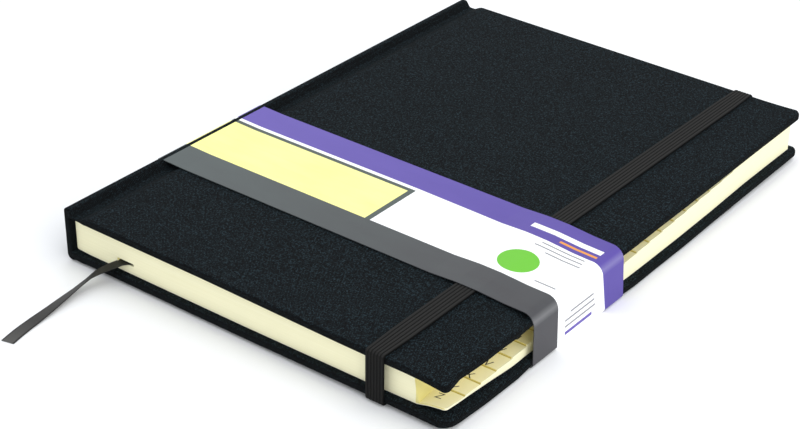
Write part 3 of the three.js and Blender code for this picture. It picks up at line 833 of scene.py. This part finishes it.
# Strap: its ends lie under the back endpaper, and it bends softly over the cover's head edge.
STRAP_CLEAR = 0.05
PASTE_DEPTH = 0.45
STRAP_END = 13.0
SLIT_BEND, EDGE_BEND, HEAD_BEND = 0.6, 0.8, 1.7
STRAP_COLUMNS_PER_RIB = 8
RIB_DEPTH = 0.22
BEVEL_ACROSS, BEVEL_DEPTH = 0.15, 0.1
PINCH, PINCH_REACH = 0.11, 4


def strap_path():
    """The strap's middle line in Y and Z, from one end inside the back cover to the other."""
    half = STRAP_THICKNESS / 2
    under = -STRAP_CLEAR - half
    over = THICKNESS + STRAP_CLEAR + half
    inside = COVER - PASTE_DEPTH - half
    tail = [
        (STRAP_SLIT + STRAP_END, inside, SLIT_BEND),
        (STRAP_SLIT, inside, SLIT_BEND),
        (STRAP_SLIT, under, SLIT_BEND),
        (under, under, EDGE_BEND),
        (under, over, EDGE_BEND),
    ]
    head = [(HEIGHT - y, z, radius) for y, z, radius in reversed(tail)]
    head[0] = (*head[0][:2], HEAD_BEND)
    line = rounded(tail + head, closed=False, steps=6)
    return divided(line, longest=12.0, closed=False)


def strap_section():
    """The strap's section: rounded ribs on its outer face and a flat inner one."""
    columns = STRAP_RIBS * STRAP_COLUMNS_PER_RIB
    half, side = STRAP_THICKNESS / 2, STRAP_WIDTH / 2
    points = []
    for column in range(columns + 1):
        arch = abs(math.sin(math.pi * column / STRAP_COLUMNS_PER_RIB))
        offset = STRAP_WIDTH * (column / columns - 0.5)
        points.append((offset, half - RIB_DEPTH + RIB_DEPTH * arch ** 0.6))
    points += [(side, -half + BEVEL_DEPTH), (side - BEVEL_ACROSS, -half)]
    points += [(-side + BEVEL_ACROSS, -half), (-side, -half + BEVEL_DEPTH)]
    return points


def make_strap():
    """The elastic, a little narrower where it bends round the covers' edges."""
    section = strap_section()
    rings, uv = [], []
    run, last = 0.0, None
    for point, normal in strap_path():
        if last is not None:
            run += (point - last).length
        last = point
        from_edge = max(min(point.x, HEIGHT - point.x), 0)
        narrowed = 1 - PINCH * math.exp(-(from_edge / PINCH_REACH) ** 2)
        middle = STRAP_X + STRAP_SKEW * (point.x / HEIGHT - 0.5)
        dip = tail_dip(middle, max(point.x, 0.0)) * passed(point.y, 0, THICKNESS)
        ring = []
        for side, out in section:
            y, z = point.x + normal.x * out, point.y + normal.y * out
            ring.append(place(middle + side * narrowed, y, z - dip))
        rings.append(ring)
        uv.append([(run, side + STRAP_WIDTH / 2) for side, _ in section])
    strap = loft("strap", rings, uv)
    mark_sharp(strap, angle=60)
    strap.data.materials.append(elastic_material())
    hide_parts("elastic_strap")
    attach(strap, "book")


# Band: its head edge lies a little nearer the tail than the CAD's, most at the fore edge's top.
BAND_TIGHT = 0.1
RIDGE_SINK = 0.3
BAND_BESIDE_STRAP = 0.4
FOLD_OUT, FOLD_DROP, UNDER_OUT = 0.1, 0.1, 0.5
BAND_ROWS = 14
BAND_NARROW = 1.0
BAND_NARROW_FORE = 1.0
NARROW_FROM = 100
BAND_INWARD = 0.3
INWARD_FROM, INWARD_TO = 140, 155
INSIDE_COLOURS = (srgb(226, 226, 222), srgb(244, 244, 241))


def band_path():
    """The band's middle line in X and Z, each corner with its radius: from under the book, round
    the spine, over the strap and down the fore edge."""
    half = BAND_THICKNESS / 2
    under = -BAND_LIFT - half
    spine = -BAND_TIGHT - half
    ridge = THICKNESS + RIDGE - RIDGE_SINK + half
    flat = THICKNESS + BAND_GAP + half
    over = THICKNESS + STRAP_THICKNESS + BAND_TIGHT + half
    side = STRAP_WIDTH / 2 + BAND_BESIDE_STRAP
    return [
        (spine, under, 0.5),
        (spine, ridge, 0.9),
        (SPINE_WALL, ridge, 1.5),
        (SPINE_WALL + RIDGE_SLOPE, flat, 12.0),
        (STRAP_X - side - STRAP_SLOPE, flat, 14.0),
        (STRAP_X - side, over, 12.0),
        (STRAP_X + side, over, 12.0),
        (STRAP_X + side + STRAP_SLOPE, flat, 14.0),
        (WIDTH + FOLD_OUT, flat - FOLD_DROP, 4.0),
        (WIDTH + UNDER_OUT, under, 1.4),
    ]


def band_lie(x, y, z):
    """Where a point of the band comes to lie."""
    share = (y - BAND_TAIL) / (BAND_HEAD - BAND_TAIL)
    far = passed(x, NARROW_FROM, WIDTH)
    narrow = BAND_NARROW + BAND_NARROW_FORE * far ** 2 * passed(z, 0, THICKNESS)
    return x - BAND_INWARD * passed(x, INWARD_FROM, INWARD_TO), y - narrow * share, z


def band_line():
    """The band's middle line from the spine's top corner on, and its length up to each point."""
    line = divided(rounded(band_path(), closed=True, steps=6), longest=6.0, closed=True)
    start = min(range(len(line)), key=lambda at: line[at][0].x - line[at][0].y)
    line = line[start:] + line[:start]
    runs = [0.0]
    for (here, _), (after, _) in zip(line, line[1:] + line[:1]):
        runs.append(runs[-1] + (after - here).length)
    return line, runs


def make_band():
    """The paper band, printed outside and plain inside, its print placed by its unrolled length."""
    line, runs = band_line()
    count = len(line)
    width = BAND_HEAD - BAND_TAIL
    vertices = []
    for side in (BAND_THICKNESS / 2, -BAND_THICKNESS / 2):
        for row in range(BAND_ROWS + 1):
            y = BAND_TAIL + width * row / BAND_ROWS
            for point, normal in line:
                at = band_lie(point.x + normal.x * side, y, point.y + normal.y * side)
                vertices.append(place(*at))
    faces, uvs, insides = [], [], []

    def quad(*corners):
        """A face from corners that each say inner or outer, the row and the place on the line."""
        faces.append([
            inner * (BAND_ROWS + 1) * count + row * count + at % count
            for inner, row, at in corners
        ])
        uvs.append([(runs[at], width * row / BAND_ROWS) for _, row, at in corners])
        insides.append(all(inner for inner, _, _ in corners))

    end = BAND_ROWS
    for at in range(count):
        for row in range(BAND_ROWS):
            quad((0, row, at), (0, row, at + 1), (0, row + 1, at + 1), (0, row + 1, at))
            quad((1, row, at), (1, row + 1, at), (1, row + 1, at + 1), (1, row, at + 1))
        quad((0, 0, at + 1), (0, 0, at), (1, 0, at), (1, 0, at + 1))
        quad((0, end, at), (0, end, at + 1), (1, end, at + 1), (1, end, at))
    band = new_object("band", vertices, faces)
    flat = band.data.uv_layers.new(name="flat").data
    for polygon, corners in zip(band.data.polygons, uvs):
        for loop, value in zip(polygon.loop_indices, corners):
            flat[loop].uv = value
    mark_sharp(band, angle=60)
    band.data.materials.append(band_material())
    band.data.materials.append(plain_paper("band_inside", *INSIDE_COLOURS))
    band.data.polygons.foreach_set("material_index", [int(inner) for inner in insides])
    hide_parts("belly_band")
    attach(band, "band")


# The ribbon's stops, as in the CAD: each has its place and the way across its flat side.
RIBBON_ROUTE = [
    ((40.07, 18.27, 5.95), (0.7071, -0.7071, 0)),
    ((32.44, 10.64, 5.95), (0.7071, -0.7071, 0)),
    ((24.8, 3.0, 5.95), (0.7071, -0.7071, 0)),
    ((22.29, 0.49, 4.95), (0.72, -0.69, 0)),
    ((20.09, -1.8, 3.75), (0.76, -0.65, 0.04)),
    ((18.51, -4.22, 2.69), (0.82, -0.5, 0.2)),
    ((17.58, -7.6, 1.51), (0.82, -0.2, 0.5)),
    ((17.41, -12.49, 0.49), (0.85, -0.05, 0.5)),
    ((17.89, -19.48, -0.25), (0.92, 0.05, 0.36)),
    ((18.51, -25.51, -0.74), (0.96, 0.08, 0.22)),
    ((19.08, -31.5, -1.09), (0.98, 0.1, 0.08)),
    ((20.0, -38.49, -1.29), (0.98, 0.15, 0)),
    ((21.41, -45.0, -1.29), (0.98, 0.2, 0)),
]
RIBBON_COLUMNS = 6


def smooth_route(stops, per_span=5):
    """Points along a smooth curve through the stops, each with its way across."""
    points = [Vector(point) for point, _ in stops]
    ways = [Vector(way) for _, way in stops]
    result = []
    for span in range(len(points) - 1):
        before = points[max(span - 1, 0)]
        start, end = points[span], points[span + 1]
        after = points[min(span + 2, len(points) - 1)]
        for step in range(per_span):
            share = step / per_span
            at = 0.5 * (
                2 * start + (end - before) * share
                + (2 * before - 5 * start + 4 * end - after) * share ** 2
                + (3 * start - before - 3 * end + after) * share ** 3
            )
            result.append((at, ways[span].lerp(ways[span + 1], share)))
    result.append((points[-1], ways[-1]))
    return result


def make_ribbon():
    """The ribbon marker, from its slot between the leaves to its cut end on the floor."""
    route = smooth_route(RIBBON_ROUTE)
    half, side = RIBBON_THICKNESS / 2, RIBBON_WIDTH / 2
    across = [side * (2 * column / RIBBON_COLUMNS - 1) for column in range(RIBBON_COLUMNS + 1)]
    section = [(offset, half) for offset in across] + [(-offset, -half) for offset in across]
    rings, uv, path = [], [], []
    run, last = 0.0, None
    for at, (point, way) in enumerate(route):
        ahead = route[min(at + 1, len(route) - 1)][0]
        behind = route[max(at - 1, 0)][0]
        tangent = (ahead - behind).normalized()
        way = (way - tangent * way.dot(tangent)).normalized()
        flat = tangent.cross(way)
        if last is not None:
            run += (point - last).length
        last = point
        path.append(place(*point))
        rings.append([place(*(point + way * offset + flat * out)) for offset, out in section])
        uv.append([(run, offset + side) for offset, _ in section])
    ribbon = loft("ribbon", rings, uv)
    ribbon.data.materials.append(ribbon_material())
    mark_sharp(ribbon, angle=60)
    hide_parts("ribbon_marker")
    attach(ribbon, "book")


# Leaves: the lowest curl up at their tail corner, and lie on the back cover elsewhere. The OUT
# values are small shifts outwards, and the lean is that of the thumb index's wall. A pair in
# brackets is a stretch along X or Y over which a shift grows, from its start to its end.
CURL = 1.8
CURL_REACH = 18.0
CURL_FROM = 0.5
CORNER_OUT = 0.5
CORNER_Y = (15, 3)
WALL_LEAN_BOTTOM, WALL_LEAN_TOP = 1.3, -0.7
WALL_REACH = 9
TAIL_OUT = 0.8
TAIL_X, TAIL_Y = (150, 125), (20, 3)
FORE_OUT = 0.4
FORE_REACH = 12
FORE_FROM_TAIL, FORE_FROM_HEAD = (24, 34), (180, 160)
LOWEST_LEAVES = 0.15
LIES_Y = (18, 40)
PASTED_TOP = 2.87
PASTED_CLEAR = 3.0
CLEAR_X, CLEAR_Y = (130, 152), (30, 3)
# Places where the leaves, endpapers and boards are cut finer before they are bent, besides the
# rows of STRAY from FIRST_STRAY_CUT on. CUTS_Z are shares of the leaves' height.
CUTS_X = (138, 141, 143.3, 144.8, 146.3, 147.8, 149.3, 150.8, 8, 60, 75, 115, 125, 130, 135)
CURL_CUTS, CURL_CUT_PITCH = 11, 1.7
CUTS_Y = (1.2, 1.8, 2.4, 27, 31, 40)
CUTS_Z = (0.15, 0.3, 0.5, 0.7)
FIRST_STRAY_CUT = 4


def curl(x, y):
    """How far the lowest leaves' tail corner curls up."""
    across = passed(x, INDEX_WALL + CURL_FROM, FORE_EDGE)
    along = passed(y, BLOCK_TAIL + CURL_REACH, BLOCK_TAIL)
    return CURL * across ** 0.5 * along ** 1.6


def curled(x, y, z):
    """Where a point of the leaves comes to lie."""
    height = passed(z, BLOCK_BOTTOM, BLOCK_TOP)
    lean = WALL_LEAN_TOP + (WALL_LEAN_BOTTOM - WALL_LEAN_TOP) * (1 - height) ** 2
    corner = CORNER_OUT * passed(x, INDEX_WALL, FORE_EDGE)
    corner += lean * passed(abs(x - INDEX_WALL), WALL_REACH, 0)
    tailward = TAIL_OUT * passed(x, *TAIL_X) * passed(y, *TAIL_Y)
    between = passed(y, *FORE_FROM_TAIL) * passed(y, *FORE_FROM_HEAD)
    fore = FORE_OUT * passed(x, STRAY_FROM, STRAY_FROM + FORE_REACH) * between
    down = 0.0
    if z < BLOCK_BOTTOM + LOWEST_LEAVES:
        share = passed(x, STRAY_FROM, WIDTH)
        down = back_sag(x) + row_at(y)[1] * share ** BACK_DROOP_POWER * passed(y, *LIES_Y)
    return x + corner * passed(y, *CORNER_Y) + fore, y - tailward, z + curl(x, y) - down


def curled_leaf(x, y, z):
    """The endpaper's free leaf curls, and its pasted half stays on the cover, clear of the corner."""
    if z > PASTED_TOP:
        return curled(x, y, z)
    clear = PASTED_CLEAR * passed(x, *CLEAR_X) * passed(y, *CLEAR_Y)
    x, y, z = strayed(x, y, z)
    return x - clear, y + clear, z


def bend(vertices, way):
    """Moves vertices by a function of their place in the book's frame."""
    for vertex in vertices:
        vertex.co = place(*way(*((vertex.co - ORIGIN) / MM)))


def bent_copy(node, name, material, way, heights=()):
    """A CAD piece's own shape, cut finer near the fore edge and bent."""
    body = bmesh.new()
    body.from_mesh(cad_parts[node].data)
    along = [BLOCK_TAIL + CURL_CUT_PITCH * cut for cut in range(1, CURL_CUTS + 1)]
    along += [row[0] for row in STRAY[FIRST_STRAY_CUT:-1]]
    along += CUTS_Y
    cuts = [(place(x, 0, 0), (1, 0, 0)) for x in CUTS_X]
    cuts += [(place(0, y, 0), (0, 1, 0)) for y in along]
    cuts += [(place(0, 0, z), (0, 0, 1)) for z in heights]
    for at, normal in cuts:
        parts = body.verts[:] + body.edges[:] + body.faces[:]
        bmesh.ops.bisect_plane(body, geom=parts, dist=1e-7, plane_co=at, plane_no=normal)
    bend(body.verts, way)
    mesh = bpy.data.meshes.new(name)
    body.to_mesh(mesh)
    body.free()
    mesh.materials.clear()
    mesh.materials.append(material)
    copy = bpy.data.objects.new(name, mesh)
    bpy.context.scene.collection.objects.link(copy)
    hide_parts(node)
    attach(copy, "book")


# Papers and boards: the darkest and the lightest tone of each
ENDPAPER_COLOURS = (srgb(236, 228, 196), srgb(248, 244, 220))
BOARD_COLOURS = (srgb(120, 114, 104), srgb(150, 144, 134))
LINING_COLOURS = (srgb(196, 186, 160), srgb(220, 212, 190))


def make_inside():
    """The leaves, boards and endpapers, bent with the covers."""
    endpaper = plain_paper("endpaper", *ENDPAPER_COLOURS)
    board = plain_paper("binding_board", *BOARD_COLOURS, grain=400.0)
    heights = [BLOCK_BOTTOM + share * (BLOCK_TOP - BLOCK_BOTTOM) for share in CUTS_Z]
    bent_copy("text_block", "leaves", paper_edge_material(), curled, heights)
    bent_copy("back_endpaper", "endpaper_back", endpaper, curled_leaf)
    bent_copy("front_endpaper", "endpaper_front", endpaper, strayed)
    bent_copy("front_board", "board_front", board, laid)
    bent_copy("back_board", "board_back", board, laid)


# Letters: where a letter stands on its tab, on the first tab and on the others. LETTER_ALONG is
# from the tab's tail end, and LETTER_OUT is from the middle of the tabs' depth.
FONT_SIZE = 4.25
LETTER_ALONG = (5.6, 1.1)
LETTER_OUT = (-1.3, -0.3)
INK_ABOVE_PAPER = 0.03
INK_DARK, INK_LIGHT = srgb(44, 42, 36), srgb(78, 74, 60)


def ink_material():
    """Dark printing ink, a little uneven."""
    nodes = Nodes("letter_ink")
    ink = nodes.noise(nodes.coordinates(), 2500.0, detail=2.0)
    nodes.set(Base_Color=nodes.mix(ink, INK_DARK, INK_LIGHT), Roughness=0.8)
    return nodes.material


def make_letters():
    """One generic index letter on each tab, Z at the tail and A at the head."""
    section = (BLOCK_TOP - BLOCK_BOTTOM) / len(LETTERS)
    page = bmesh.new()
    for tab, letter in enumerate(LETTERS):
        low = BLOCK_TAIL if tab == 0 else BLOCK_TAIL + FIRST_TAB + (tab - 1) * TAB_PITCH
        centre = low + LETTER_ALONG[min(tab, 1)]
        height = BLOCK_BOTTOM + (tab + 1) * section
        curve = bpy.data.curves.new("letter", "FONT")
        curve.body = letter
        curve.size = FONT_SIZE * MM
        curve.align_x = "CENTER"
        curve.align_y = "CENTER"
        text = bpy.data.objects.new("letter", curve)
        outline = bpy.data.meshes.new_from_object(text)
        middle = FORE_EDGE - TAB_REACH / 2 + LETTER_OUT[min(tab, 1)]
        outline.transform(Matrix.Translation(place(middle, centre, height + INK_ABOVE_PAPER)))
        page.from_mesh(outline)
        bpy.data.objects.remove(text)
        bpy.data.curves.remove(curve)
        bpy.data.meshes.remove(outline)
    bend(page.verts, curled)
    mesh = bpy.data.meshes.new("tab_letters")
    page.to_mesh(mesh)
    page.free()
    letters = bpy.data.objects.new("tab_letters", mesh)
    bpy.context.scene.collection.objects.link(letters)
    mesh.materials.append(ink_material())
    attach(letters, "book")


def dress_nodes():
    """Better finishes for the CAD pieces that stay."""
    finishes = {
        "spine_board": plain_paper("spine_strip", *BOARD_COLOURS, grain=400.0),
        "spine_lining": plain_paper("mull_lining", *LINING_COLOURS, grain=1500.0),
    }
    for name, material in finishes.items():
        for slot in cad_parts[name].material_slots:
            slot.material = material


bpy.context.scene.view_settings.view_transform = "Standard"
make_camera()
make_stage()
dress_nodes()
make_ribbon()
make_inside()
make_cover()
make_strap()
make_band()
make_letters()
